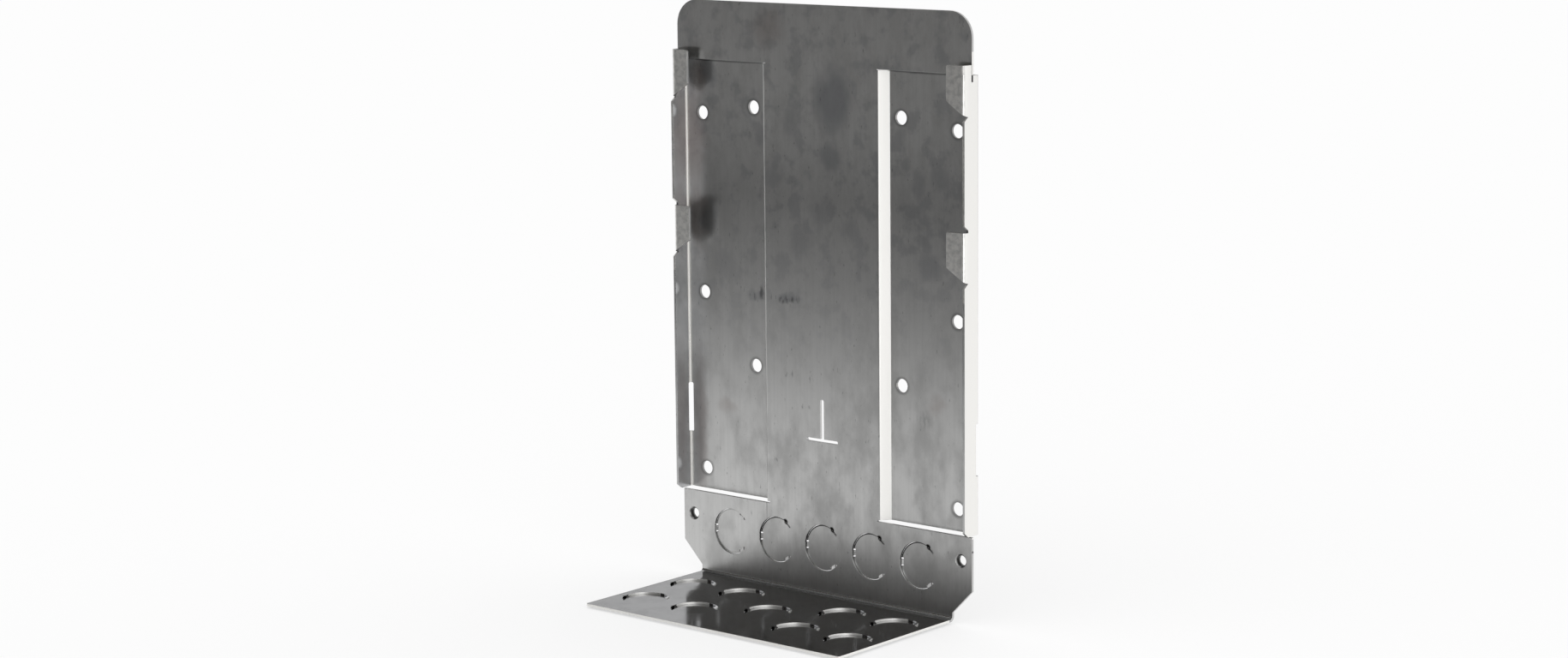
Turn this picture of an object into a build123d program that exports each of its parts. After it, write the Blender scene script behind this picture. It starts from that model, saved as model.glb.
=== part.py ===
"""Wall mounting bracket, pressed and folded from one sheet of steel.

A tall back plate is folded forward at its foot into a shallow tray. Down each side of the plate a strip is
cut free above and below and stepped backwards, so the strips lie on the wall. The outer edge of each strip is
folded forward into a flange, and two lips folded in from the flange hold the side rail of what hangs there.
Cable knockouts, pushed back but still tied in, are in the plate and the tray.

Frame: X across the plate, Y towards the wall, Z up. While it is built, the plate's front face is Y = 0 and the
tray's underside is Z = 0. At the end the origin moves to the middle of the bottom of the bracket's box.
Lengths are in millimetres.
"""

from build123d import *
import os
from math import sqrt

# Sheet
sheet = 1.2
press_radius = 0.3

# Back plate
plate_width = 175.0
plate_height = 278.8
plate_corner_radius = 12.0
foot_chamfer_width = 11.1
foot_chamfer_top = 15.6
foot_chamfer_bottom = 4.3

# Tray, folded forward from the foot of the plate
tray_depth = 82.2
tray_corner_radius = 0.8
foot_bend_radius = 1.5

# Side strips, stepped backwards between two cuts
strip_start = 34.2
step_depth = 4.5
step_run = 3.5
strip_bottom = 41.6
strip_top = 250.5
cut_below_strip = 0.8
cut_above_strip = 0.3

# Flanges, folded forward from the outer edge of the strips
flange_front = 5.35
flange_bend_radius = 0.5
flange_foot_chamfer = (2.6, 2.0)

# Tongue at the top of each flange, standing in front of the plate
tongue_rise = 4.7
tongue_back = 0.3
tongue_slit_width = 1.2
tongue_slit_depth = 2.9

# Slots through the roots of the flanges
root_slot_bottom = 68.7
root_slot_top = 92.9
root_slot_corner = 0.8
root_slot_on_strip = 2.9
root_slot_on_flange = 2.7

# Lips, folded inwards from the front edge of the flanges
lip_reach = 10.4
lip_front = 5.25
lip_bend_radius = 1.4
lip_inner_height = 16.0
lip_outer_height = 22.8
lip_corner_radius = 1.0
lip_pitch = 74.7
relief_gap = 1.1
relief_slope = 2.1

# Wall screw holes, all in the side strips
screw_hole_radius = 3.25
inner_hole_from_step = 6.4
inner_hole_bottom = 105.5
inner_hole_pitch = 123.5
inner_hole_count = 2
outer_hole_from_edge = 11.3
outer_hole_bottom = 51.8
outer_hole_pitch = 86.5
outer_hole_count = 3

# Tapped holes, drawn out into a collar at the back
tapped_hole_from_edge = 6.3
tapped_hole_z = 29.2
tapped_hole_radius = 2.5
tapped_collar_wall = 1.0
tapped_collar_length = 1.8
tapped_lead_in = 0.7

# Upside-down T cut through the middle of the plate
tee_stem_top = 94.6
tee_stem_width = 2.1
tee_bar_middle = 75.0
tee_bar_width = 1.5
tee_bar_length = 18.8

# Cable knockouts
knockout_radius = 11.1
knockout_cut = 0.2
knockout_push = 0.95
knockout_tie_width = 2.4
knockout_tie_run = 1.5
knockout_tie_relief = 0.8
plate_knockout_z = 23.5
plate_knockout_pitch = 28.5
plate_knockout_count = 5
plate_tie_angles = (179.0, 52.0, -56.0)
tray_knockout_from_edge = 15.1
tray_knockout_back_row = 23.8
tray_knockout_row_spacing = 33.5
tray_tie_angles = (-169.0, 55.0, -50.0)

# Sizes that follow from those above
half_width = plate_width / 2
half_tray = half_width - foot_chamfer_width
flange_inside = half_width - sheet
strip_back = step_depth + sheet
strip_join = strip_start - press_radius - sheet
plate_foot = sheet + foot_bend_radius
lip_bend_line = lip_front - lip_bend_radius - sheet
tongue_top = strip_top + tongue_rise
inner_hole_x = strip_start + step_run + inner_hole_from_step
outer_hole_x = half_width - outer_hole_from_edge
tapped_hole_x = half_width - tapped_hole_from_edge
tray_outer_column = half_tray - tray_knockout_from_edge
tray_front_row = tray_knockout_back_row + tray_knockout_row_spacing

# How far shapes run into or past each other, so that they join or cut cleanly
overlap = 0.5
beyond = 10.0


def block(low, high):
    """A box from its lowest corner to its highest."""
    size = [top - bottom for bottom, top in zip(low, high)]
    return Pos(*low) * Box(*size, align=(Align.MIN, Align.MIN, Align.MIN))


def bent_sheet(corners, radii, side):
    """The section of a bent sheet: one face's line, thickened by the sheet to one side."""
    return make_face(offset(FilletPolyline(*corners, radius=radii), amount=sheet, side=side))


def hole(x, z, radius):
    """A round cutter through the plate or a side strip."""
    return Pos(x, 0, z) * Rot(90, 0, 0) * Cylinder(radius, 2 * beyond)


def back_plate():
    """The plate above the foot bend, without the two windows that the side strips fill."""
    outline = Polyline(
        (-half_tray, plate_foot),
        (half_tray, plate_foot),
        (half_tray, foot_chamfer_bottom),
        (half_width, foot_chamfer_top),
        (half_width, plate_height),
        (-half_width, plate_height),
        (-half_width, foot_chamfer_top),
        (-half_tray, foot_chamfer_bottom),
        close=True,
    )
    face = make_face(outline)
    face = fillet(face.vertices().group_by(Axis.Y)[-1], plate_corner_radius)
    plate = extrude(Plane.XZ * face, amount=-sheet)
    window = block(
        (strip_join, -beyond, strip_bottom - cut_below_strip),
        (half_width + beyond, beyond, strip_top + cut_above_strip),
    )
    return plate - window - mirror(window, about=Plane.YZ)


def tray():
    """The tray and the bend that joins it to the plate."""
    line = ((-tray_depth, sheet), (0, sheet), (0, plate_foot + overlap))
    section = Plane.YZ * bent_sheet(line, foot_bend_radius, Side.RIGHT)
    body = Pos(-half_tray, 0, 0) * extrude(section, amount=2 * half_tray)
    corners = body.edges().filter_by(Axis.Z).group_by(Axis.Y)[0]
    return fillet(corners, tray_corner_radius)


def strip_and_flange():
    """The right-hand strip, its step down from the plate, and the flange along its outer edge."""
    line = (
        (strip_join - overlap, 0),
        (strip_start, 0),
        (strip_start + step_run, step_depth),
        (flange_inside, step_depth),
        (flange_inside, -flange_front),
    )
    radii = [press_radius + sheet, press_radius, flange_bend_radius]
    section = bent_sheet(line, radii, Side.LEFT)
    body = Pos(0, 0, strip_bottom) * extrude(section, amount=strip_top - strip_bottom)
    tongue = block(
        (flange_inside, -flange_front, strip_top - overlap),
        (half_width, -tongue_back, tongue_top),
    )
    slit = block(
        (flange_inside - overlap, -tongue_back, strip_top - tongue_slit_depth),
        (half_width + overlap, tongue_slit_width - tongue_back, strip_top + beyond),
    )
    depth, height = flange_foot_chamfer
    foot_corner = Polyline(
        (-flange_front, strip_bottom + height),
        (-flange_front, strip_bottom),
        (depth - flange_front, strip_bottom),
        close=True,
    )
    foot = extrude(Plane.YZ * make_face(foot_corner), amount=half_width + beyond)
    return body + tongue - slit - foot


def root_slot():
    """The cutter for the slot through a flange's root, round-cornered on both of its faces."""
    length = root_slot_top - root_slot_bottom
    on_strip = block(
        (half_width - root_slot_on_strip, root_slot_on_flange - overlap, root_slot_bottom),
        (half_width + overlap, strip_back + overlap, root_slot_top),
    )
    on_strip = fillet(on_strip.edges().filter_by(Axis.Y).group_by(Axis.X)[0], root_slot_corner)
    on_flange = Pos(0, strip_back - root_slot_on_flange, root_slot_bottom) * Box(
        half_width + overlap, beyond, length, align=(Align.MIN, Align.MIN, Align.MIN)
    )
    on_flange = fillet(on_flange.edges().filter_by(Axis.X).group_by(Axis.Y)[0], root_slot_corner)
    return on_strip & on_flange


def lip_reliefs(top):
    """The cutter that clears a flange's front edge for a lip and notches it above and below."""
    tip = top - lip_outer_height
    outline = Polyline(
        (-lip_bend_line, top + relief_gap),
        (-flange_front, top + relief_gap + relief_slope),
        (-beyond, top + relief_gap + relief_slope),
        (-beyond, tip - relief_slope),
        (-flange_front, tip - relief_slope),
        (-lip_bend_line, tip),
        close=True,
    )
    return extrude(Plane.YZ * make_face(outline), amount=half_width + beyond)


def lip(top):
    """A lip folded inwards from the right-hand flange, cut away slantwise below."""
    inner = half_width - lip_reach
    line = ((half_width, overlap - lip_bend_line), (half_width, -lip_front), (inner, -lip_front))
    section = bent_sheet(line, lip_bend_radius + sheet, Side.RIGHT)
    bottom = top - lip_outer_height
    body = Pos(0, 0, bottom) * extrude(section, amount=lip_outer_height)
    slant = Polyline(
        (inner, top - lip_inner_height),
        (half_width, bottom),
        (inner, bottom),
        close=True,
    )
    body -= extrude(Plane.XZ * make_face(slant), amount=beyond)
    corner = body.edges().filter_by(Axis.Y).sort_by_distance((inner, -lip_front, top))[0]
    return fillet(corner, lip_corner_radius)


def side():
    """Everything on the right of the plate: strip, flange, lips, and the holes for the wall screws."""
    body = strip_and_flange() - root_slot()
    for top in (tongue_top, tongue_top - lip_pitch):
        body = body - lip_reliefs(top) + lip(top)
    for row in range(inner_hole_count):
        body -= hole(inner_hole_x, inner_hole_bottom + row * inner_hole_pitch, screw_hole_radius)
    for row in range(outer_hole_count):
        body -= hole(outer_hole_x, outer_hole_bottom + row * outer_hole_pitch, screw_hole_radius)
    return body


def tee_cut():
    """The upside-down T through the middle of the plate."""
    stem_bottom = tee_bar_middle - tee_bar_width / 2
    stem_length = tee_stem_top - stem_bottom
    bar = Pos(0, tee_bar_middle) * SlotOverall(tee_bar_length, tee_bar_width)
    stem = Pos(0, stem_bottom + stem_length / 2) * Rot(0, 0, 90) * SlotOverall(stem_length, tee_stem_width)
    return extrude(Plane.XZ * (bar + stem), amount=beyond, both=True)


def add_tapped_hole(body, x):
    """A tapped hole with its collar at the back and a dished mouth at the front."""
    back = sheet + tapped_collar_length
    collar = Pos(x, back, tapped_hole_z) * Rot(90, 0, 0) * Cylinder(
        tapped_hole_radius + tapped_collar_wall, back - sheet / 2, align=(Align.CENTER, Align.CENTER, Align.MIN)
    )
    body = body + collar - hole(x, tapped_hole_z, tapped_hole_radius)
    mouth = body.edges().filter_by(GeomType.CIRCLE).sort_by_distance((x, 0, tapped_hole_z))[0]
    return chamfer(mouth, tapped_lead_in)


def knockout(tie_angles):
    """A knockout on its own: the cut disc, pushed below the sheet's face at Z = 0, with its sloping ties."""
    tie_root = sqrt(knockout_radius**2 - (knockout_tie_width / 2) ** 2)
    tie_end = tie_root - knockout_tie_run
    gap_width = knockout_tie_width + 2 * knockout_tie_relief
    gap = Pos(tie_end + beyond / 2, 0) * Rectangle(beyond, gap_width)
    disc = Circle(knockout_radius - knockout_cut)
    for angle in tie_angles:
        disc -= Rot(0, 0, angle) * gap
    disc = Pos(0, 0, -sheet - knockout_push) * extrude(disc, amount=sheet)
    top = (
        (tie_end - overlap, -knockout_push),
        (tie_end, -knockout_push),
        (tie_root, 0),
        (tie_root + overlap, 0),
    )
    bottom = [(x, z - sheet) for x, z in reversed(top)]
    slope = make_face(Polyline(*top, *bottom, close=True))
    tie = extrude(Plane.XZ * slope, amount=knockout_tie_width / 2, both=True)
    for angle in tie_angles:
        disc += Rot(0, 0, angle) * tie
    return disc


def add_knockouts(body, places, tie_angles):
    """Cuts each knockout's opening in the sheet, and leaves its disc tied in."""
    opening = extrude(Circle(knockout_radius), amount=2 * sheet, both=True)
    disc = knockout(tie_angles)
    body -= [place * opening for place in places]
    body += [place * disc for place in places]
    return body


def bracket():
    """The whole bracket, with its origin in the middle of the bottom of its box."""
    right = side()
    body = back_plate() + tray() + right + mirror(right, about=Plane.YZ)
    body -= tee_cut()
    middle = (plate_knockout_count - 1) / 2
    plate_places = [
        Plane((plate_knockout_pitch * (i - middle), 0, plate_knockout_z), x_dir=(1, 0, 0), z_dir=(0, -1, 0))
        for i in range(plate_knockout_count)
    ]
    tray_places = [
        Plane((x, -row, sheet))
        for row in (tray_knockout_back_row, tray_front_row)
        for x in (-tray_outer_column, -tray_outer_column / 2, tray_outer_column / 2, tray_outer_column)
    ]
    tray_places.append(Plane((0, -(tray_knockout_back_row + tray_front_row) / 2, sheet)))
    body = add_knockouts(body, plate_places, plate_tie_angles)
    body = add_knockouts(body, tray_places, tray_tie_angles)
    for x in (-tapped_hole_x, tapped_hole_x):
        body = add_tapped_hole(body, x)
    return Pos(0, (tray_depth - strip_back) / 2, knockout_push) * body


os.makedirs("parts", exist_ok=True)
part = bracket()
part.label = "bracket"
export_step(part, "parts/bracket.step")
box = part.bounding_box()
print(f"bracket: {len(part.solids())} solid, {box.size.X:.1f} x {box.size.Y:.1f} x {box.size.Z:.1f} mm")
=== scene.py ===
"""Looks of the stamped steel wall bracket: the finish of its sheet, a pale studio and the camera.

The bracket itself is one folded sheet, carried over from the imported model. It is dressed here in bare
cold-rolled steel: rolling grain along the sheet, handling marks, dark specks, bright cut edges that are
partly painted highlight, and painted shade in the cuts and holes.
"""

import logging
import math
from dataclasses import dataclass, field
from enum import Enum
from typing import Any, Sequence

import bpy
import numpy as np
from mathutils import Matrix, Vector


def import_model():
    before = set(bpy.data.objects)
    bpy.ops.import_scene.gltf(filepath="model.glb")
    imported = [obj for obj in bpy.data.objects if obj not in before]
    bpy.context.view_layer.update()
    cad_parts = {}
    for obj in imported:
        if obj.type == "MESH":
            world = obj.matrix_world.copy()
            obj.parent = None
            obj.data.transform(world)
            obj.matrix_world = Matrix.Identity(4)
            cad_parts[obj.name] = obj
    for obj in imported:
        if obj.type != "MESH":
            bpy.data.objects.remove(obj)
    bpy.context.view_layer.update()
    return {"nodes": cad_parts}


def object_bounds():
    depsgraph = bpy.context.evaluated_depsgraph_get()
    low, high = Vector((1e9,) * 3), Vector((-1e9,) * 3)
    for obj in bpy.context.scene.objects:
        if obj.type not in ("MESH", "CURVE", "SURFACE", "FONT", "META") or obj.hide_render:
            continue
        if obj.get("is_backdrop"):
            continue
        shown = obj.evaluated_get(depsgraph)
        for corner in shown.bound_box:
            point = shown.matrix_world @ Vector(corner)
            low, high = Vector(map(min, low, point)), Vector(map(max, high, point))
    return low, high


LOG = logging.getLogger("bracket")
MM = 0.001
Triple = tuple[float, float, float]
Socket = bpy.types.NodeSocket

# Y of the marks on each upright face, in millimetres: a third of a millimetre in front of the face
PLATE_Y = 37.9
STRIP_Y = 42.4

# A face looks along an axis when that part of its normal is past this
FACING = 0.5

# The Mix node's colour sockets, by number, because every data type's sockets have the same names
COLOUR_A = 6
COLOUR_B = 7
COLOUR_RESULT = 2


def linear(hex_colour: str) -> tuple[float, float, float, float]:
    """Turns an sRGB hex colour into linear RGBA.

    Args:
        hex_colour: six hex digits, with or without a leading hash.

    Returns:
        The linear colour with an alpha of 1.
    """
    digits = hex_colour.lstrip("#")
    channels = [int(digits[i : i + 2], 16) / 255 for i in (0, 2, 4)]
    linear_rgb = [c / 12.92 if c <= 0.04045 else ((c + 0.055) / 1.055) ** 2.4 for c in channels]
    return (*linear_rgb, 1.0)


def add_node(tree: bpy.types.NodeTree, kind: str, settings: dict[str, Any] | None = None,
             links: dict[str | int, Any] | None = None) -> bpy.types.Node:
    """Adds a shader node with its settings, socket values and links.

    Args:
        tree: the node tree that gets the node.
        kind: the node's type, such as ShaderNodeMix.
        settings: attributes of the node, such as operation.
        links: input socket name or number, to the output socket or the value that feeds it.

    Returns:
        The new node.
    """
    node = tree.nodes.new(kind)
    for name, value in (settings or {}).items():
        setattr(node, name, value)
    for name, value in (links or {}).items():
        if isinstance(value, Socket):
            tree.links.new(value, node.inputs[name])
        else:
            node.inputs[name].default_value = value
    return node


def empty_tree(owner: bpy.types.Material | bpy.types.World) -> bpy.types.NodeTree:
    """Gives a new material or world a node tree with nothing in it.

    Args:
        owner: the material or world.

    Returns:
        Its node tree.
    """
    owner.use_nodes = True
    owner.node_tree.nodes.clear()
    return owner.node_tree


class Ray(Enum):
    """The kinds of light ray that a studio card is hidden from."""

    CAMERA = "visible_camera"
    DIFFUSE = "visible_diffuse"
    SHADOW = "visible_shadow"
    VOLUME = "visible_volume_scatter"


class Mark(Enum):
    """The kinds of mark on the sheet, each with the share of its reach that has the full strength."""

    OIL = 0.6  # a thin film of press oil, dark and faintly blue, with a wandering edge
    SCUFF = 0.4  # dark specks where something hard rubbed
    BLUSH = 0.3  # the first brown blush of rust, with a wandering edge
    PAINTED_SHADE = 0.75  # painted shade in a hole or a cut, or at a knockout's tie, too deep for light to get out


# How far a handling mark reaches off its face, so that it stays off the next one
MARK_DEPTH_MM = 0.8

# Handling marks by kind and face: x, z, half width, half height (all in millimetres) and strength
MARKS: dict[tuple[Mark, float], tuple[tuple[float, ...], ...]] = {
    (Mark.OIL, PLATE_Y): (
        # a broad smear high on the middle, with a tail below it
        (6.9, 235.9, 10.7, 15.5, 0.55),
        (6.6, 210.6, 6.4, 8.5, 0.45),
        # fingermarks down the upper half
        (-16.4, 224.7, 4.8, 9.8, 0.25),
        (-28.7, 198.3, 5.9, 5.7, 0.3),
        (-0.3, 183.0, 6.4, 6.5, 0.25),
        (17.5, 176.4, 5.9, 6.9, 0.25),
        (-12.9, 168.8, 6.4, 7.8, 0.25),
        # under the row of strokes at half height
        (-19.5, 141.2, 7.5, 2.2, 0.35),
    ),
    (Mark.OIL, STRIP_Y): (
        # left strip, from the top down, the last under the row of strokes
        # the top two are partly oil and partly painted shade and painted reflection of the lips beside them
        (-72.0, 246.0, 5.0, 8.0, 0.5),
        (-73.0, 175.5, 5.0, 9.0, 0.5),
        (-62.7, 153.0, 8.0, 7.3, 0.2),
        (-44.0, 140.6, 5.5, 2.6, 0.3),
        # right strip, from the top down
        (43.2, 220.4, 3.7, 4.5, 0.3),
        (46.6, 208.5, 3.2, 4.9, 0.3),
        (66.7, 203.2, 5.9, 6.1, 0.3),
        (54.0, 198.4, 4.5, 7.0, 0.3),
        (60.2, 162.5, 7.5, 6.5, 0.35),
    ),
    (Mark.SCUFF, PLATE_Y): (
        # a broken row of strokes at half height
        (-30.6, 141.6, 0.5, 1.5, 0.5),
        (-23.9, 140.7, 1.8, 1.8, 0.75),
        (-21.1, 141.6, 1.1, 2.4, 0.6),
        (-17.7, 141.3, 1.8, 1.4, 0.7),
        (-14.1, 141.8, 1.1, 1.8, 0.6),
        # short nicks below it, from the top down
        (-18.3, 117.6, 0.5, 0.7, 0.4),
        (-7.1, 108.3, 0.5, 0.9, 0.4),
        (-18.1, 105.9, 0.7, 1.8, 0.5),
        (-21.8, 105.3, 0.8, 1.2, 0.5),
        (-7.4, 104.6, 0.6, 1.8, 0.5),
        (-7.7, 91.1, 0.8, 0.8, 0.4),
        (-12.1, 90.5, 0.6, 0.9, 0.5),
        (-16.7, 80.1, 0.6, 0.9, 0.5),
        (-15.3, 71.8, 1.0, 0.8, 0.4),
        (-6.9, 48.3, 0.7, 1.6, 0.4),
        # a rubbed patch on a knockout
        (-30.0, 19.0, 5.0, 6.0, 0.25),
    ),
    (Mark.SCUFF, STRIP_Y): (
        # the row of strokes goes on over the left strip
        (-47.5, 139.6, 0.7, 1.8, 0.45),
        (-44.6, 139.9, 0.8, 2.0, 0.55),
        (-40.3, 141.9, 1.4, 3.2, 0.75),
        # a rubbed patch on the right strip
        (57.5, 92.0, 4.0, 4.0, 0.3),
    ),
    (Mark.BLUSH, PLATE_Y): (
        # near the plate's top edge
        (-30.0, 268.0, 8.0, 8.0, 0.3),
    ),
    (Mark.BLUSH, STRIP_Y): (
        # along the left strip's outer edge, from the top down
        (-79.0, 243.0, 4.5, 9.0, 0.4),
        (-82.0, 215.0, 6.0, 24.0, 0.5),
        (-81.0, 176.0, 4.5, 16.0, 0.4),
        (-80.5, 72.0, 4.5, 32.0, 0.35),
        # a spot on each strip
        (-63.0, 85.0, 5.0, 3.5, 0.25),
        (64.0, 99.0, 5.0, 3.5, 0.25),
    ),
}


@dataclass(frozen=True)
class Point:
    """The point being shaded: its node tree, and the sockets for its place and its normal."""

    tree: bpy.types.NodeTree
    place: Socket
    normal: Socket


@dataclass(frozen=True)
class Smudge:
    """One mark on the sheet: an ellipsoid about a middle, so that it stays on the face that it lies on."""

    kind: Mark
    middle_mm: Triple
    reach_mm: Triple
    strength: float

    def mask(self, tree: bpy.types.NodeTree, place: Socket) -> Socket:
        """Gives the strength inside the ellipsoid, fading to nothing outside it.

        The distance from the middle, over the reach, is 1 on the ellipsoid's surface.

        Args:
            tree: the node tree.
            place: the point being shaded.

        Returns:
            The mask.
        """
        hard = self.kind.value
        offset = add_node(
            tree, "ShaderNodeVectorMath", {"operation": "SUBTRACT"},
            {0: place, 1: tuple(v * MM for v in self.middle_mm)},
        ).outputs[0]
        scaled = add_node(
            tree, "ShaderNodeVectorMath", {"operation": "MULTIPLY"},
            {0: offset, 1: tuple(1 / (v * MM) for v in self.reach_mm)},
        ).outputs[0]
        distance = add_node(
            tree, "ShaderNodeVectorMath", {"operation": "LENGTH"}, {0: scaled}
        ).outputs["Value"]
        return add_node(
            tree, "ShaderNodeMapRange", {"interpolation_type": "SMOOTHSTEP"},
            {
                "Value": distance,
                "From Min": hard,
                "From Max": 2 - hard,
                "To Min": self.strength,
                "To Max": 0.0,
            },
        ).outputs[0]


def handling_marks() -> list[Smudge]:
    """Lists the oil, scuffs and rust blush of MARKS.

    Returns:
        The marks, each as a flat ellipsoid on its face.
    """
    return [
        Smudge(kind, (x, face_y, z), (half_width, MARK_DEPTH_MM, half_height), strength)
        for (kind, face_y), rows in MARKS.items()
        for x, z, half_width, half_height, strength in rows
    ]


@dataclass(frozen=True)
class PlateKnockouts:
    """The row of five round knockouts along the foot of the plate, one of them on the middle plane.

    tie_mm is the upper tie of the middle one, and height_mm is how high their middles are.
    """

    pitch_mm: float = 28.5
    height_mm: float = 24.45
    tie_mm: Triple = (5.3, 38.6, 33.8)
    tie_reach_mm: float = 1.5
    cut_radius_mm: float = 10.75
    cut_half_width_mm: float = 0.45
    cut_y_mm: float = 39.1
    cut_half_depth_mm: float = 0.75
    # painted shade in the cut round the upper left of each knockout: the side it lies on, where it starts
    # and ends, and how dark it is
    shaded_side: Triple = (-0.6, 0.0, 0.8)
    shade_from_mm: float = 2.0
    shade_to_mm: float = 6.0
    painted_shade_strength: float = 0.85
    leftmost_share: float = 0.25
    leftmost_ends_mm: tuple[float, float] = (-45.0, -40.0)

    def pits(self) -> list[Smudge]:
        """Lists the painted shade of a dark pit at the upper tie of each knockout but the leftmost, which
        has none.

        Returns:
            The pits.
        """
        x, y, z = self.tie_mm
        reach = (self.tie_reach_mm,) * 3
        return [Smudge(Mark.PAINTED_SHADE, (x + self.pitch_mm * i, y, z), reach, 1.0) for i in range(-1, 3)]

    def rims(self, point: Point) -> Socket:
        """Paints shade in the cut round the upper left of each knockout, with little at the leftmost.

        Wrapping x by the pitch brings every knockout onto the middle one. The cut is then one ring, about
        the middle of that knockout.

        Args:
            point: the point being shaded.

        Returns:
            The painted shade's strength.
        """
        tree = point.tree
        half_pitch = self.pitch_mm / 2 * MM
        axes = add_node(tree, "ShaderNodeSeparateXYZ", None, {0: point.place}).outputs
        across = add_node(
            tree, "ShaderNodeMath", {"operation": "WRAP"}, {0: axes[0], 1: half_pitch, 2: -half_pitch}
        ).outputs[0]
        above = add_node(
            tree, "ShaderNodeMath", {"operation": "SUBTRACT"}, {0: axes[2], 1: self.height_mm * MM}
        ).outputs[0]
        offset = add_node(tree, "ShaderNodeCombineXYZ", None, {0: across, 2: above}).outputs[0]
        radius = add_node(
            tree, "ShaderNodeVectorMath", {"operation": "LENGTH"}, {0: offset}
        ).outputs["Value"]
        ring = add_node(
            tree, "ShaderNodeMath", {"operation": "COMPARE"},
            {0: radius, 1: self.cut_radius_mm * MM, 2: self.cut_half_width_mm * MM},
        ).outputs[0]
        deep = add_node(
            tree, "ShaderNodeMath", {"operation": "COMPARE"},
            {0: axes[1], 1: self.cut_y_mm * MM, 2: self.cut_half_depth_mm * MM},
        ).outputs[0]
        in_cut = add_node(tree, "ShaderNodeMath", {"operation": "MULTIPLY"}, {0: ring, 1: deep}).outputs[0]
        side = add_node(
            tree, "ShaderNodeVectorMath", {"operation": "DOT_PRODUCT"}, {0: offset, 1: self.shaded_side}
        ).outputs["Value"]
        upper = add_node(
            tree, "ShaderNodeMapRange", None,
            {
                "Value": side,
                "From Min": self.shade_from_mm * MM,
                "From Max": self.shade_to_mm * MM,
                "To Max": self.painted_shade_strength,
            },
        ).outputs[0]
        rims = add_node(tree, "ShaderNodeMath", {"operation": "MULTIPLY"}, {0: in_cut, 1: upper}).outputs[0]
        share = add_node(
            tree, "ShaderNodeMapRange", None,
            {
                "Value": axes[0],
                "From Min": self.leftmost_ends_mm[0] * MM,
                "From Max": self.leftmost_ends_mm[1] * MM,
                "To Min": self.leftmost_share,
                "To Max": 1.0,
            },
        ).outputs[0]
        return add_node(tree, "ShaderNodeMath", {"operation": "MULTIPLY"}, {0: rims, 1: share}).outputs[0]


@dataclass(frozen=True)
class TrayKnockouts:
    """The nine knockouts of the tray: two rows of four, and one between the rows on the middle plane."""

    row_ys_mm: tuple[float, float] = (14.45, -19.05)
    row_xs_mm: tuple[float, ...] = (-61.3, -30.65, 30.65, 61.3)
    middle_mm: tuple[float, float] = (0.0, -2.3)
    tie_mm: Triple = (-10.4, -3.6, 1.6)
    tie_reach_mm: float = 1.1

    def pits(self) -> list[Smudge]:
        """Lists the painted shade of a dark pit at the left tie of each knockout.

        Returns:
            The pits.
        """
        middles = [(x, y) for y in self.row_ys_mm for x in self.row_xs_mm] + [self.middle_mm]
        aside, ahead, height = self.tie_mm
        reach = (self.tie_reach_mm,) * 3
        return [Smudge(Mark.PAINTED_SHADE, (x + aside, y + ahead, height), reach, 1.0) for x, y in middles]


@dataclass(frozen=True)
class CutEdges:
    """What was cut through the strips, on both sides of the middle plane, and the fold of the left rail.

    The bores are the small ones at the foot. A slit runs over the top of each strip.
    """

    face_y_mm: float = 42.6
    bore_mm: Triple = (81.2, 39.6, 30.15)
    bore_reach_mm: Triple = (3.2, 2.4, 3.2)
    outer_hole_x_mm: float = 76.2
    outer_hole_zs_mm: tuple[float, ...] = (52.75, 139.25, 225.75)
    inner_hole_x_mm: float = 44.1
    inner_hole_zs_mm: tuple[float, ...] = (106.45, 229.95)
    rim_reach_mm: float = 4.0
    slit_x_mm: float = 60.5
    slit_z_mm: float = 251.3
    slit_reach_mm: Triple = (27.0, 1.2, 0.9)
    fold_mm: Triple = (-34.6, 38.4, 78.0)
    fold_reach_mm: Triple = (0.5, 1.5, 44.0)
    # how dark the painted shade is round the screw holes, in the slits and along the fold
    painted_shade_strength: float = 0.5

    def pits(self) -> list[Smudge]:
        """Lists the painted shade round what was cut or folded.

        Returns:
            The painted shade deep in the small bores, round the rims of the screw holes, in the slits over
            the rails and along the low end of the left rail's fold.
        """
        bore_x, bore_y, bore_z = self.bore_mm
        holes = [(self.outer_hole_x_mm, z) for z in self.outer_hole_zs_mm]
        holes += [(self.inner_hole_x_mm, z) for z in self.inner_hole_zs_mm]
        pits = [Smudge(Mark.PAINTED_SHADE, self.fold_mm, self.fold_reach_mm, self.painted_shade_strength)]
        for side in (-1, 1):
            bore = (side * bore_x, bore_y, bore_z)
            slit = (side * self.slit_x_mm, self.face_y_mm, self.slit_z_mm)
            pits.append(Smudge(Mark.PAINTED_SHADE, bore, self.bore_reach_mm, 1.0))
            pits.append(Smudge(Mark.PAINTED_SHADE, slit, self.slit_reach_mm, self.painted_shade_strength))
            for x, z in holes:
                rim = (side * x, self.face_y_mm, z)
                pits.append(Smudge(Mark.PAINTED_SHADE, rim, (self.rim_reach_mm,) * 3, self.painted_shade_strength))
        return pits


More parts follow.
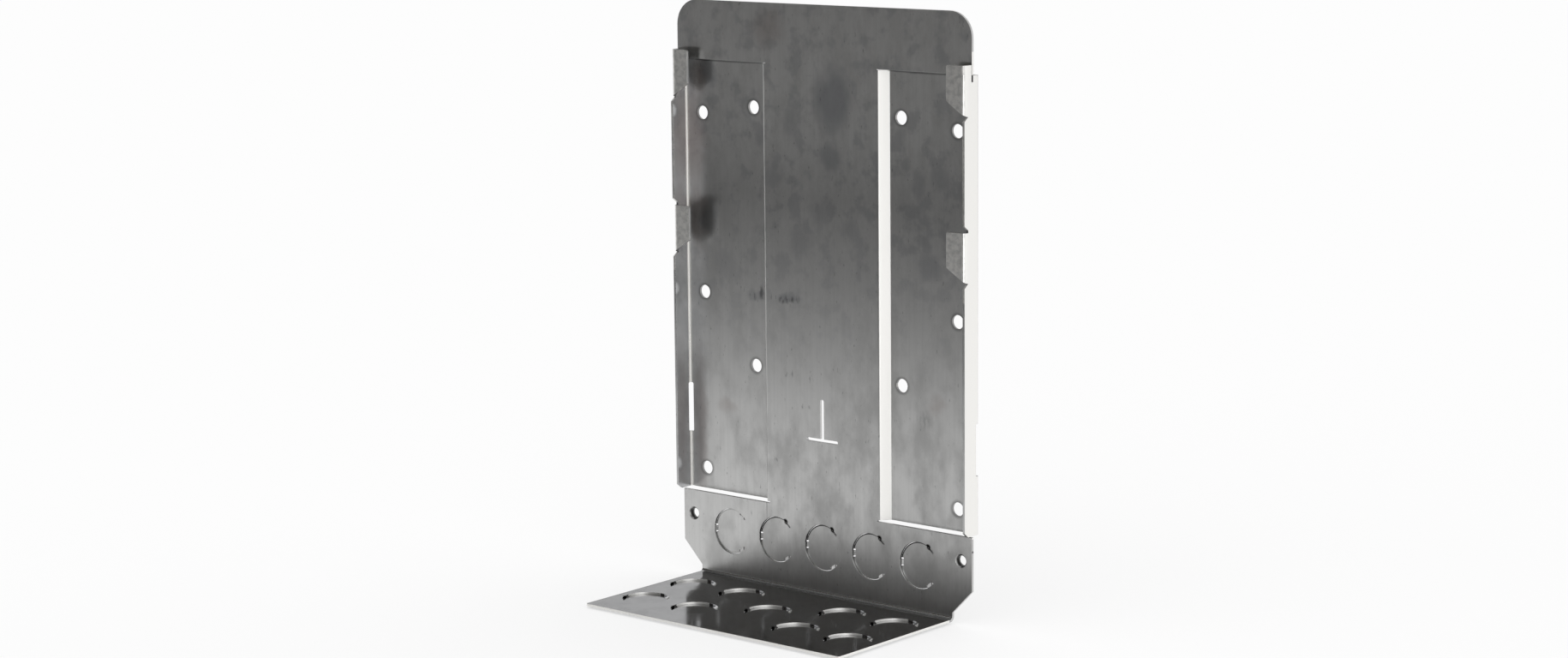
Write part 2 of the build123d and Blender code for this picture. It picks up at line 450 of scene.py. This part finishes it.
class Zone(Enum):
    """A box on each side of the bracket: its lowest and highest corner in millimetres.

    Both corners' x is the distance from the middle plane.
    """

    TRAY = ((0.0, -50.0, 0.0), (80.0, 37.0, 2.6))
    TRAY_CUTS = ((0.0, -43.4, 0.0), (75.8, 30.0, 2.2))
    TRAY_FRONT_RIM = ((0.0, -50.0, 0.0), (90.0, -43.4, 2.2))
    TRAY_SIDE_RIMS = ((75.8, -50.0, 0.0), (76.8, 36.0, 2.2))
    RAIL_STEPS = ((33.0, 36.0, 41.0), (41.0, 44.5, 252.0))
    FLANGE_ROOTS = ((85.75, 41.6, 41.0), (86.6, 43.0, 252.0))
    FLANGE_INSIDES = ((85.9, 20.0, 41.0), (86.7, 42.2, 252.0))
    FLANGE_OUTSIDES = ((86.9, 20.0, 41.0), (88.0, 45.0, 262.0))
    LIPS = ((0.0, 0.0, 150.0), (90.0, 35.0, 265.0))

    def mask(self, point: Point, factor: Socket | float) -> Socket:
        """Gives the factor inside the box, and zero outside it.

        Args:
            point: the point being shaded.
            factor: a socket or number that multiplies the result.

        Returns:
            The mask.
        """
        axes = add_node(point.tree, "ShaderNodeSeparateXYZ", None, {0: point.place}).outputs
        aside = add_node(point.tree, "ShaderNodeMath", {"operation": "ABSOLUTE"}, {0: axes[0]}).outputs[0]
        for value, low, high in zip((aside, axes[1], axes[2]), *self.value):
            middle, half = (low + high) / 2 * MM, (high - low) / 2 * MM
            inside = add_node(
                point.tree, "ShaderNodeMath", {"operation": "COMPARE"}, {0: value, 1: middle, 2: half}
            ).outputs[0]
            factor = add_node(
                point.tree, "ShaderNodeMath", {"operation": "MULTIPLY"}, {0: factor, 1: inside}
            ).outputs[0]
        return factor


@dataclass(frozen=True)
class ColdRolledSteel:
    """Bare cold-rolled steel sheet, as it comes off the press.

    The rolling leaves a fine grain along the sheet. The surface is smooth enough to mirror what is near,
    softly. Press oil leaves dark bluish smudges, and shade is painted into the cuts, corners and holes.
    Cut, rubbed and drawn metal is duller; its lighter tone is partly bright metal and partly painted
    highlight, and on the drawn lips a painted reflection.

    A squeeze packs a pattern along an axis where it is over 1, and draws it out where it is under 1.
    """

    tone: str = "#C9C9C8"
    dull_tone: str = "#B5B5B4"
    oil_tone: str = "#7E8087"
    blush_tone: str = "#84706A"
    speck_tone: str = "#5F5F61"
    # painted shade in the cuts, corners, holes and at the knockouts' ties
    painted_shade_tone: str = "#151413"
    # the drawn metal of the lips, mottled between these two tones and painted lighter than the plate as a
    # painted reflection
    lightened_drawn_tone: str = "#DCDBD8"
    drawn_shade: str = "#C2C2C0"
    # painted highlight near white, partly on metal that the tool cut and rubbed
    painted_highlight_tone: str = "#F9F8F5"
    roughness: float = 0.29
    smooth_roughness: float = 0.10
    dull_roughness: float = 0.37
    sheltered_roughness: float = 0.2
    drawn_roughness: float = 0.46
    burnished_roughness: float = 0.5
    anisotropy: float = 0.3
    tray_top_mm: float = 2.6
    handled_from_mm: float = 3.2
    grain_width_mm: float = 0.7
    grain_aspect: float = 50.0
    grain_strength: float = 0.10
    grain_depth_mm: float = 0.05
    streak_width_mm: float = 1.2
    streak_strength: float = 0.3
    cloud_mm: float = 16.667
    cloud_squeeze: Triple = (1.0, 1.0, 0.6)
    film_mm: float = 9.524
    peel_mm: float = 2.381
    grit_mm: float = 2.0833
    grit_squeeze: Triple = (1.9, 1.0, 0.7)
    wander_mm: float = 11.111
    wander_reach_mm: Triple = (9.0, 0.0, 11.0)
    tray_oil: float = 0.4
    flange_oil: float = 0.35
    film_strength: float = 0.3
    film_from_mm: float = 100.0
    film_to_mm: float = 180.0
    # a painted glint on the tray's cut walls that face front and right
    glint_facing: Triple = (0.72, -0.7, 0.0)
    glint_past: float = 0.74
    edge_round_mm: float = 0.25
    crevice_mm: float = 2.4
    smudges: Sequence[Smudge] = field(default_factory=handling_marks)
    plate_knockouts: PlateKnockouts = PlateKnockouts()
    tray_knockouts: TrayKnockouts = TrayKnockouts()
    cut_edges: CutEdges = CutEdges()

    def build(self) -> bpy.types.Material:
        """Builds the steel as a material.

        Returns:
            The material.
        """
        material = bpy.data.materials.new("cold_rolled_steel")
        tree = empty_tree(material)
        point = Point(
            tree,
            add_node(tree, "ShaderNodeTexCoord").outputs["Object"],
            add_node(tree, "ShaderNodeNewGeometry").outputs["Normal"],
        )
        dull = self._dull(point)
        # the lips' fronts, where the drawn metal is painted lighter as a painted reflection
        drawn = Zone.LIPS.mask(point, self._frontal(point))
        # painted highlights near white, partly on metal that the tool cut and rubbed, with a painted glint
        # on the tray's cuts
        highlight_and_burnish = self._highlight_and_burnish(point)
        steel = add_node(
            tree, "ShaderNodeBsdfPrincipled", None,
            {
                "Base Color": self._tone(point, dull, drawn, highlight_and_burnish),
                "Metallic": 1.0,
                "Roughness": self._roughness(point, dull, drawn, highlight_and_burnish),
                "Anisotropic": self.anisotropy,
                "Tangent": self._rolling_direction(point),
                "Normal": self._relief(point),
            },
        ).outputs[0]
        add_node(tree, "ShaderNodeOutputMaterial", None, {"Surface": steel})
        return material

    def _tone(self, point: Point, dull: Socket, drawn: Socket, highlight_and_burnish: Socket) -> Socket:
        """Lays the marks over the bare tone: first clouds and oil, then rust and specks, and last the
        painted shade.

        Args:
            point: the point being shaded.
            dull: how dull the sheet is.
            drawn: where the die drew the metal, whose lighter tone is a painted reflection.
            highlight_and_burnish: where the sheet is painted near white, partly bright metal that the tool
                cut and rubbed and partly painted highlight.

        Returns:
            The colour.
        """
        tree = point.tree
        wandering = self._wander(point)
        oiled = self._strongest(tree, [
            self._marks(tree, wandering, Mark.OIL, self.smudges),
            self._film(point),
            Zone.TRAY.mask(point, self.tray_oil),
            Zone.FLANGE_INSIDES.mask(point, self.flange_oil),
        ])
        rusty = self._marks(tree, wandering, Mark.BLUSH, self.smudges)
        specked = self._specks(point, self._marks(tree, point.place, Mark.SCUFF, self.smudges))
        # painted shade in the crevices and in the cut round the plate's knockouts
        painted_shade = self._strongest(tree, [self._crevice_shade(point), self.plate_knockouts.rims(point)])
        # painted shade at the knockouts' ties, in the bores, slits and screw holes' rims, and along the
        # fold
        pits = self.plate_knockouts.pits() + self.tray_knockouts.pits() + self.cut_edges.pits()
        painted_pit_shade = self._marks(tree, point.place, Mark.PAINTED_SHADE, pits)
        mottled = add_node(
            tree, "ShaderNodeMix", {"data_type": "RGBA"},
            {
                0: self._orange_peel(point),
                COLOUR_A: linear(self.lightened_drawn_tone),
                COLOUR_B: linear(self.drawn_shade),
            },
        ).outputs[COLOUR_RESULT]
        tone = linear(self.tone)
        # The lips' lighter mottle is a painted reflection; after it come painted shade, painted highlight
        # and painted shade again.
        for where, over in (
            (dull, linear(self.dull_tone)),
            (self._streaks(point), linear(self.dull_tone)),
            (oiled, linear(self.oil_tone)),
            (rusty, linear(self.blush_tone)),
            (specked, linear(self.speck_tone)),
            (drawn, mottled),
            (painted_shade, linear(self.painted_shade_tone)),
            (highlight_and_burnish, linear(self.painted_highlight_tone)),
            (painted_pit_shade, linear(self.painted_shade_tone)),
        ):
            tone = add_node(
                tree, "ShaderNodeMix", {"data_type": "RGBA"}, {0: where, COLOUR_A: tone, COLOUR_B: over}
            ).outputs[COLOUR_RESULT]
        return tone

    def _relief(self, point: Point) -> Socket:
        """Rounds the edges and raises the grain.

        Args:
            point: the point being shaded.

        Returns:
            The normal.
        """
        rounded = add_node(
            point.tree, "ShaderNodeBevel", {"samples": 4}, {"Radius": self.edge_round_mm * MM}
        ).outputs[0]
        return add_node(
            point.tree, "ShaderNodeBump", None,
            {
                "Strength": self.grain_strength,
                "Distance": self.grain_depth_mm * MM,
                "Height": self._grain(point, self.grain_width_mm),
                "Normal": rounded,
            },
        ).outputs[0]

    def _rolling_direction(self, point: Point) -> Socket:
        """Gives the rolling direction: up the plate, and from back to front on the tray.

        Args:
            point: the point being shaded.

        Returns:
            The direction, as a vector.
        """
        tree = point.tree
        lying = add_node(tree, "ShaderNodeSeparateXYZ", None, {0: point.normal}).outputs[2]
        flat = add_node(tree, "ShaderNodeMath", {"operation": "ABSOLUTE"}, {0: lying}).outputs[0]
        up = add_node(tree, "ShaderNodeMath", {"operation": "SUBTRACT"}, {0: 1.0, 1: flat}).outputs[0]
        return add_node(tree, "ShaderNodeCombineXYZ", None, {1: flat, 2: up}).outputs[0]

    def _grain(self, point: Point, width_mm: float) -> Socket:
        """Makes long thin streaks along the rolling direction.

        A real grain is finer than this. It is drawn as wide as it needs to be to show.

        Args:
            point: the point being shaded.
            width_mm: about how wide a streak is.

        Returns:
            The grain's height, from 0 to 1.
        """
        across = 1 / (width_mm * MM)
        along = across / self.grain_aspect
        stretched = add_node(
            point.tree, "ShaderNodeVectorMath", {"operation": "MULTIPLY"},
            {0: point.place, 1: (across, along, along)},
        ).outputs[0]
        return add_node(
            point.tree, "ShaderNodeTexNoise", None,
            {"Vector": stretched, "Scale": 1.0, "Detail": 3.0, "Roughness": 0.6},
        ).outputs["Fac"]

    def _streaks(self, point: Point) -> Socket:
        """Finds faint tone streaks along the grain.

        Args:
            point: the point being shaded.

        Returns:
            The streaks' strength.
        """
        return add_node(
            point.tree, "ShaderNodeMapRange", None,
            {
                "Value": self._grain(point, self.streak_width_mm),
                "From Min": 0.4,
                "From Max": 0.7,
                "To Max": self.streak_strength,
            },
        ).outputs[0]

    def _dull(self, point: Point) -> Socket:
        """Finds soft dull clouds, longer upward than across, where the sheet was handled.

        Args:
            point: the point being shaded.

        Returns:
            The clouds' strength, from 0 to 1.
        """
        stretched = add_node(
            point.tree, "ShaderNodeVectorMath", {"operation": "MULTIPLY"},
            {0: point.place, 1: self.cloud_squeeze},
        ).outputs[0]
        cloud = add_node(
            point.tree, "ShaderNodeTexNoise", None,
            {"Vector": stretched, "Scale": 1 / (self.cloud_mm * MM), "Detail": 5.0, "Roughness": 0.66},
        ).outputs["Fac"]
        return add_node(
            point.tree, "ShaderNodeMapRange", {"interpolation_type": "SMOOTHSTEP"},
            {"Value": cloud, "From Min": 0.38, "From Max": 0.70},
        ).outputs[0]

    def _film(self, point: Point) -> Socket:
        """Finds patches of thin oil, about film_mm across, on the front from the middle of the plate up.

        Args:
            point: the point being shaded.

        Returns:
            The patches' strength.
        """
        tree = point.tree
        patch = add_node(
            tree, "ShaderNodeTexNoise", None,
            {"Vector": point.place, "Scale": 1 / (self.film_mm * MM), "Detail": 3.0, "Roughness": 0.55},
        ).outputs["Fac"]
        wet = add_node(
            tree, "ShaderNodeMapRange", {"interpolation_type": "SMOOTHSTEP"},
            {"Value": patch, "From Min": 0.48, "From Max": 0.64},
        ).outputs[0]
        height = add_node(tree, "ShaderNodeSeparateXYZ", None, {0: point.place}).outputs[2]
        upper = add_node(
            tree, "ShaderNodeMapRange", None,
            {
                "Value": height,
                "From Min": self.film_from_mm * MM,
                "From Max": self.film_to_mm * MM,
                "To Max": self.film_strength,
            },
        ).outputs[0]
        patches = add_node(tree, "ShaderNodeMath", {"operation": "MULTIPLY"}, {0: wet, 1: upper}).outputs[0]
        return add_node(
            tree, "ShaderNodeMath", {"operation": "MULTIPLY"}, {0: patches, 1: self._frontal(point)}
        ).outputs[0]

    def _orange_peel(self, point: Point) -> Socket:
        """Makes the fine mottle of drawn metal, about peel_mm across.

        Args:
            point: the point being shaded.

        Returns:
            The mottle, from 0 to 1.
        """
        mottle = add_node(
            point.tree, "ShaderNodeTexNoise", None,
            {"Vector": point.place, "Scale": 1 / (self.peel_mm * MM), "Detail": 3.0, "Roughness": 0.6},
        ).outputs["Fac"]
        return add_node(
            point.tree, "ShaderNodeMapRange", None, {"Value": mottle, "From Min": 0.40, "From Max": 0.66}
        ).outputs[0]

    def _specks(self, point: Point, scuffed: Socket) -> Socket:
        """Makes dark specks, longer upward than across: many where scuffed, and a few faint ones all over.

        Args:
            point: the point being shaded.
            scuffed: how scuffed the sheet is.

        Returns:
            The specks' strength.
        """
        tree = point.tree
        stretched = add_node(
            tree, "ShaderNodeVectorMath", {"operation": "MULTIPLY"}, {0: point.place, 1: self.grit_squeeze}
        ).outputs[0]
        grit = add_node(
            tree, "ShaderNodeTexNoise", None,
            {"Vector": stretched, "Scale": 1 / (self.grit_mm * MM), "Detail": 1.0, "Roughness": 0.5},
        ).outputs["Fac"]
        dense = add_node(
            tree, "ShaderNodeMapRange", None, {"Value": grit, "From Min": 0.36, "From Max": 0.56}
        ).outputs[0]
        sparse = add_node(
            tree, "ShaderNodeMapRange", None,
            {"Value": grit, "From Min": 0.72, "From Max": 0.80, "To Max": 0.4},
        ).outputs[0]
        rubbed = add_node(
            tree, "ShaderNodeMath", {"operation": "MULTIPLY"}, {0: dense, 1: scuffed}
        ).outputs[0]
        return self._strongest(tree, [rubbed, sparse])

    def _wander(self, point: Point) -> Socket:
        """Moves the place a few millimetres within the upright plane, so that a mark's edge wanders.

        Noise from 0 to 1 goes to plus or minus half of the reach.

        Args:
            point: the point being shaded.

        Returns:
            The moved place.
        """
        noise = add_node(
            point.tree, "ShaderNodeTexNoise", None,
            {"Vector": point.place, "Scale": 1 / (self.wander_mm * MM), "Detail": 2.0, "Roughness": 0.6},
        ).outputs["Color"]
        shift = add_node(
            point.tree, "ShaderNodeVectorMath", {"operation": "MULTIPLY_ADD"},
            {
                0: noise,
                1: tuple(reach * MM for reach in self.wander_reach_mm),
                2: tuple(-reach / 2 * MM for reach in self.wander_reach_mm),
            },
        ).outputs[0]
        return add_node(
            point.tree, "ShaderNodeVectorMath", {"operation": "ADD"}, {0: point.place, 1: shift}
        ).outputs[0]

    def _marks(self, tree: bpy.types.NodeTree, place: Socket, kind: Mark,
               smudges: Sequence[Smudge]) -> Socket:
        """Gives the strongest of the marks of one kind at each point.

        Args:
            tree: the node tree.
            place: the point being shaded, moved or not.
            kind: the kind of mark that counts.
            smudges: marks of any kind.

        Returns:
            The mask.
        """
        masks = [smudge.mask(tree, place) for smudge in smudges if smudge.kind is kind]
        return self._strongest(tree, masks)

    def _strongest(self, tree: bpy.types.NodeTree, masks: Sequence[Socket]) -> Socket:
        """Gives the highest of the masks at each point.

        Args:
            tree: the node tree.
            masks: one mask or more.

        Returns:
            The mask.
        """
        strongest = masks[0]
        for mask in masks[1:]:
            strongest = add_node(
                tree, "ShaderNodeMath", {"operation": "MAXIMUM"}, {0: strongest, 1: mask}
            ).outputs[0]
        return strongest

    def _crevice_shade(self, point: Point) -> Socket:
        """Paints shade in the cuts and corners: more where a point sees less within crevice_mm.

        Args:
            point: the point being shaded.

        Returns:
            The painted shade's strength.
        """
        open_sky = add_node(
            point.tree, "ShaderNodeAmbientOcclusion", {"samples": 8}, {"Distance": self.crevice_mm * MM}
        ).outputs["AO"]
        return add_node(
            point.tree, "ShaderNodeMapRange", None,
            {"Value": open_sky, "From Min": 0.15, "From Max": 0.65, "To Min": 0.8, "To Max": 0.0},
        ).outputs[0]

    def _frontal(self, point: Point) -> Socket:
        """Gives one on the faces that look to the front, and zero on the rest.

        Args:
            point: the point being shaded.

        Returns:
            The mask.
        """
        facing = add_node(point.tree, "ShaderNodeSeparateXYZ", None, {0: point.normal}).outputs[1]
        return add_node(
            point.tree, "ShaderNodeMath", {"operation": "LESS_THAN"}, {0: facing, 1: -FACING}
        ).outputs[0]

    def _highlight_and_burnish(self, point: Point) -> Socket:
        """Finds where the sheet is painted near white, partly bright metal that the tool cut and rubbed and
        partly painted highlight.

        That is on the steps of the rails, the flanges' roots and outsides, the cut rim of the tray, and, as
        a painted glint, the side of the cut round each tray knockout that faces front and right.

        Args:
            point: the point being shaded.

        Returns:
            The mask.
        """
        tree = point.tree
        facing = add_node(tree, "ShaderNodeSeparateXYZ", None, {0: point.normal}).outputs
        turned = add_node(tree, "ShaderNodeMath", {"operation": "ABSOLUTE"}, {0: facing[0]}).outputs[0]
        wall = add_node(
            tree, "ShaderNodeMath", {"operation": "GREATER_THAN"}, {0: turned, 1: FACING}
        ).outputs[0]
        tilted = add_node(tree, "ShaderNodeMath", {"operation": "ABSOLUTE"}, {0: facing[2]}).outputs[0]
        cut = add_node(
            tree, "ShaderNodeMath", {"operation": "LESS_THAN"}, {0: tilted, 1: FACING}
        ).outputs[0]
        leading = add_node(
            tree, "ShaderNodeVectorMath", {"operation": "DOT_PRODUCT"},
            {0: point.normal, 1: self.glint_facing},
        ).outputs["Value"]
        glint = add_node(
            tree, "ShaderNodeMath", {"operation": "GREATER_THAN"}, {0: leading, 1: self.glint_past}
        ).outputs[0]
        return self._strongest(tree, [
            Zone.RAIL_STEPS.mask(point, wall),
            Zone.FLANGE_ROOTS.mask(point, 1.0),
            Zone.FLANGE_OUTSIDES.mask(point, wall),
            Zone.TRAY_FRONT_RIM.mask(point, cut),
            Zone.TRAY_SIDE_RIMS.mask(point, cut),
            Zone.TRAY_CUTS.mask(point, glint),
        ])

    def _roughness(self, point: Point, dull: Socket, drawn: Socket, highlight_and_burnish: Socket) -> Socket:
        """Gives the roughness: smooth on the tray, which nothing rubbed, and rougher on the handled plate.

        The clouds are rougher still, and the drawn metal and the painted highlights are the roughest. The
        insides of the flanges are smoother.

        Args:
            point: the point being shaded.
            dull: how dull the sheet is.
            drawn: where the die drew the metal.
            highlight_and_burnish: where the sheet is painted near white, partly bright metal that the tool
                cut and rubbed and partly painted highlight.

        Returns:
            The roughness.
        """
        tree = point.tree
        height = add_node(tree, "ShaderNodeSeparateXYZ", None, {0: point.place}).outputs[2]
        handled = add_node(
            tree, "ShaderNodeMapRange", None,
            {
                "Value": height,
                "From Min": self.tray_top_mm * MM,
                "From Max": self.handled_from_mm * MM,
                "To Min": self.smooth_roughness,
                "To Max": self.roughness,
            },
        ).outputs[0]
        roughness = add_node(
            tree, "ShaderNodeMath", {"operation": "MULTIPLY_ADD"},
            {0: dull, 1: self.dull_roughness - self.roughness, 2: handled},
        ).outputs[0]
        for where, over in (
            (drawn, self.drawn_roughness),
            (Zone.FLANGE_INSIDES.mask(point, 1.0), self.sheltered_roughness),
            (highlight_and_burnish, self.burnished_roughness),
        ):
            roughness = add_node(
                tree, "ShaderNodeMix", {"data_type": "FLOAT"}, {0: where, 2: roughness, 3: over}
            ).outputs[0]
        return roughness


@dataclass
class Bracket:
    """The bracket: one folded sheet, carried over and dressed in bare steel."""

    node: bpy.types.Object
    steel: ColdRolledSteel = field(default_factory=ColdRolledSteel)

    def dress(self) -> None:
        """Puts the steel on every face of the sheet."""
        material = self.steel.build()
        for slot in self.node.material_slots:
            slot.material = material
        LOG.info("bracket dressed, %d triangles", len(self.node.data.polygons))


def add_sheet(name: str, corners_m: Sequence[Sequence[float]],
              material: bpy.types.Material) -> bpy.types.Object:
    """Adds a flat sheet with four corners to the scene.

    Args:
        name: the sheet's name.
        corners_m: its corners in metres, in order round it.
        material: its material.

    Returns:
        The sheet's object.
    """
    mesh = bpy.data.meshes.new(name)
    mesh.from_pydata([tuple(corner) for corner in corners_m], [], [(0, 1, 2, 3)])
    mesh.materials.append(material)
    sheet = bpy.data.objects.new(name, mesh)
    bpy.context.scene.collection.objects.link(sheet)
    return sheet


@dataclass(frozen=True)
class Card:
    """A flat studio card that only reflections see: a dark flag or a bright reflector.

    It stands upright, turned about Z. Each corner is the middle, plus or minus half the width along the
    card, and plus or minus half the height up.
    """

    name: str
    middle_mm: Triple
    width_mm: float
    height_mm: float
    turn_deg: float
    strength: float
    tone: str = "#FFFFFF"

    def build(self) -> bpy.types.Object:
        """Builds the card.

        Returns:
            The card's object, marked as stage.
        """
        turn = math.radians(self.turn_deg)
        along = np.array([math.cos(turn), math.sin(turn), 0.0]) * self.width_mm / 2
        up = np.array([0.0, 0.0, self.height_mm / 2])
        middle = np.array(self.middle_mm)
        sides = np.array([[-1, -1], [1, -1], [1, 1], [-1, 1]])
        corners = middle + sides[:, :1] * along + sides[:, 1:] * up
        card = add_sheet(self.name, corners * MM, self._light())
        for ray in Ray:
            setattr(card, ray.value, False)
        card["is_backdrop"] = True
        return card

    def _light(self) -> bpy.types.Material:
        """Makes an even glow of the card's tone.

        Returns:
            The glowing material.
        """
        material = bpy.data.materials.new(self.name)
        tree = empty_tree(material)
        glow = add_node(
            tree, "ShaderNodeEmission", None, {"Color": linear(self.tone), "Strength": self.strength}
        ).outputs[0]
        add_node(tree, "ShaderNodeOutputMaterial", None, {"Surface": glow})
        return material


@dataclass
class Studio:
    """A pale floor under an even white surround, with cards that shape what the steel mirrors."""

    floor_tone: str = "#FDFDFD"
    floor_size_m: float = 60.0
    floor_glow: float = 0.6
    daylight: float = 1.0
    sky_tone: str = "#FFFFFF"
    cards: Sequence[Card] = (
        # name, middle, width, height, turn, strength and, where it isn't white, tone
        Card("near_flag", (-500.0, -385.0, 65.0), 1600.0, 130.0, 0.0, 0.12),
        Card("low_flag", (-900.0, -1300.0, 165.0), 3200.0, 330.0, 0.0, 0.08),
        Card("high_flag", (-900.0, -1300.0, 1030.0), 3200.0, 1400.0, 0.0, 0.055, "#FFF0E2"),
        Card("left_flag", (-1800.0, -500.0, 2200.0), 1800.0, 2600.0, 90.0, 0.12),
        Card("step_reflector", (230.0, -180.0, 150.0), 210.0, 300.0, 90.0, 1.9),
        Card("back_flag", (-640.0, 600.0, 320.0), 900.0, 640.0, 0.0, 0.62),
        Card("right_flag", (2150.0, -1300.0, 865.0), 2900.0, 1730.0, 0.0, 0.8),
        Card("rear_flag", (-300.0, 1500.0, 620.0), 2000.0, 1240.0, 0.0, 0.42),
    )

    def build(self) -> None:
        """Builds the floor, the surround and the cards."""
        self._floor()
        self._surround()
        for card in self.cards:
            card.build()

    def _floor(self) -> bpy.types.Object:
        """Builds a large pale square at the height of the bracket's lowest point.

        Returns:
            The floor's object, marked as stage.
        """
        half = self.floor_size_m / 2
        low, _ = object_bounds()
        corners = [(x, y, low[2]) for x, y in ((-half, -half), (half, -half), (half, half), (-half, half))]
        floor = add_sheet("floor", corners, self._floor_finish())
        floor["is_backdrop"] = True
        return floor

    def _floor_finish(self) -> bpy.types.Material:
        """Makes a matt pale surface that also glows a little where it is seen or mirrored.

        Returns:
            The floor's material.
        """
        material = bpy.data.materials.new("pale_floor")
        tree = empty_tree(material)
        matt = add_node(tree, "ShaderNodeBsdfDiffuse", None, {"Color": linear(self.floor_tone)}).outputs[0]
        white = add_node(tree, "ShaderNodeEmission", None, {"Color": linear(self.floor_tone)}).outputs[0]
        share = add_node(
            tree, "ShaderNodeMath", {"operation": "MULTIPLY"}, {0: self._shown(tree), 1: self.floor_glow}
        ).outputs[0]
        lit = add_node(tree, "ShaderNodeMixShader", None, {0: share, 1: matt, 2: white}).outputs[0]
        add_node(tree, "ShaderNodeOutputMaterial", None, {"Surface": lit})
        return material

    def _surround(self) -> bpy.types.World:
        """Makes the world white for the camera and for reflections, and soft daylight for everything else.

        Returns:
            The world, which is the scene's own.
        """
        world = bpy.data.worlds.new("surround")
        bpy.context.scene.world = world
        tree = empty_tree(world)
        strength = add_node(
            tree, "ShaderNodeMapRange", None,
            {"Value": self._shown(tree), "To Min": self.daylight, "To Max": 1.0},
        ).outputs[0]
        sky = add_node(
            tree, "ShaderNodeBackground", None, {"Color": linear(self.sky_tone), "Strength": strength}
        ).outputs[0]
        add_node(tree, "ShaderNodeOutputWorld", None, {"Surface": sky})
        return world

    def _shown(self, tree: bpy.types.NodeTree) -> Socket:
        """Gives one for what the camera sees, straight or through metal or glass, and zero for other light.

        Args:
            tree: the node tree.

        Returns:
            The switch, 0 or 1.
        """
        rays = add_node(tree, "ShaderNodeLightPath").outputs
        seen = add_node(
            tree, "ShaderNodeMath", {"operation": "MAXIMUM"},
            {0: rays["Is Camera Ray"], 1: rays["Is Glossy Ray"]},
        ).outputs[0]
        return add_node(
            tree, "ShaderNodeMath", {"operation": "MAXIMUM"}, {0: seen, 1: rays["Is Transmission Ray"]}
        ).outputs[0]


@dataclass(frozen=True)
class Viewpoint:
    """The camera's place, aim and lens, solved for a picture of 1830 by 768 pixels."""

    place_mm: Triple = (935.558, -1095.163, 373.734)
    azimuth_deg: float = 40.2165
    elevation_deg: float = 9.4439
    roll_deg: float = -0.5638
    focal_px: float = 3730.02
    picture_width_px: float = 1830.0
    sensor_mm: float = 36.0
    nearest_m: float = 0.01
    farthest_m: float = 50.0

    def build(self) -> bpy.types.Object:
        """Builds the camera and makes it the scene's own.

        Its back vector points from the scene to the camera, and its right and up vectors are turned by the
        roll.

        Returns:
            The camera's object.
        """
        azimuth, elevation, roll = (
            math.radians(a) for a in (self.azimuth_deg, self.elevation_deg, self.roll_deg)
        )
        back = Vector((
            math.sin(azimuth) * math.cos(elevation),
            -math.cos(azimuth) * math.cos(elevation),
            math.sin(elevation),
        ))
        level = Vector((math.cos(azimuth), math.sin(azimuth), 0.0))
        upright = back.cross(level)
        right = math.cos(roll) * level + math.sin(roll) * upright
        up = -math.sin(roll) * level + math.cos(roll) * upright
        camera = bpy.data.objects.new("camera", self._lens())
        bpy.context.scene.collection.objects.link(camera)
        turn = Matrix((right, up, back)).transposed().to_4x4()
        camera.matrix_world = Matrix.Translation(Vector(self.place_mm) * MM) @ turn
        bpy.context.scene.camera = camera
        return camera

    def _lens(self) -> bpy.types.Camera:
        """Makes the lens, whose focal length in pixels goes to millimetres by the sensor's width.

        Returns:
            The camera's data.
        """
        lens = bpy.data.cameras.new("camera")
        lens.sensor_fit = "HORIZONTAL"
        lens.sensor_width = self.sensor_mm
        lens.lens = self.focal_px * self.sensor_mm / self.picture_width_px
        lens.clip_start = self.nearest_m
        lens.clip_end = self.farthest_m
        return lens


def main() -> None:
    """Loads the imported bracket, dresses it, and sets the studio and the camera round it."""
    logging.basicConfig(level=logging.INFO, format="%(name)s: %(message)s")
    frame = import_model()
    bpy.context.scene.view_settings.view_transform = "Standard"
    Bracket(frame["nodes"]["bracket"]).dress()
    Studio().build()
    Viewpoint().build()


if __name__ == "__main__":
    main()
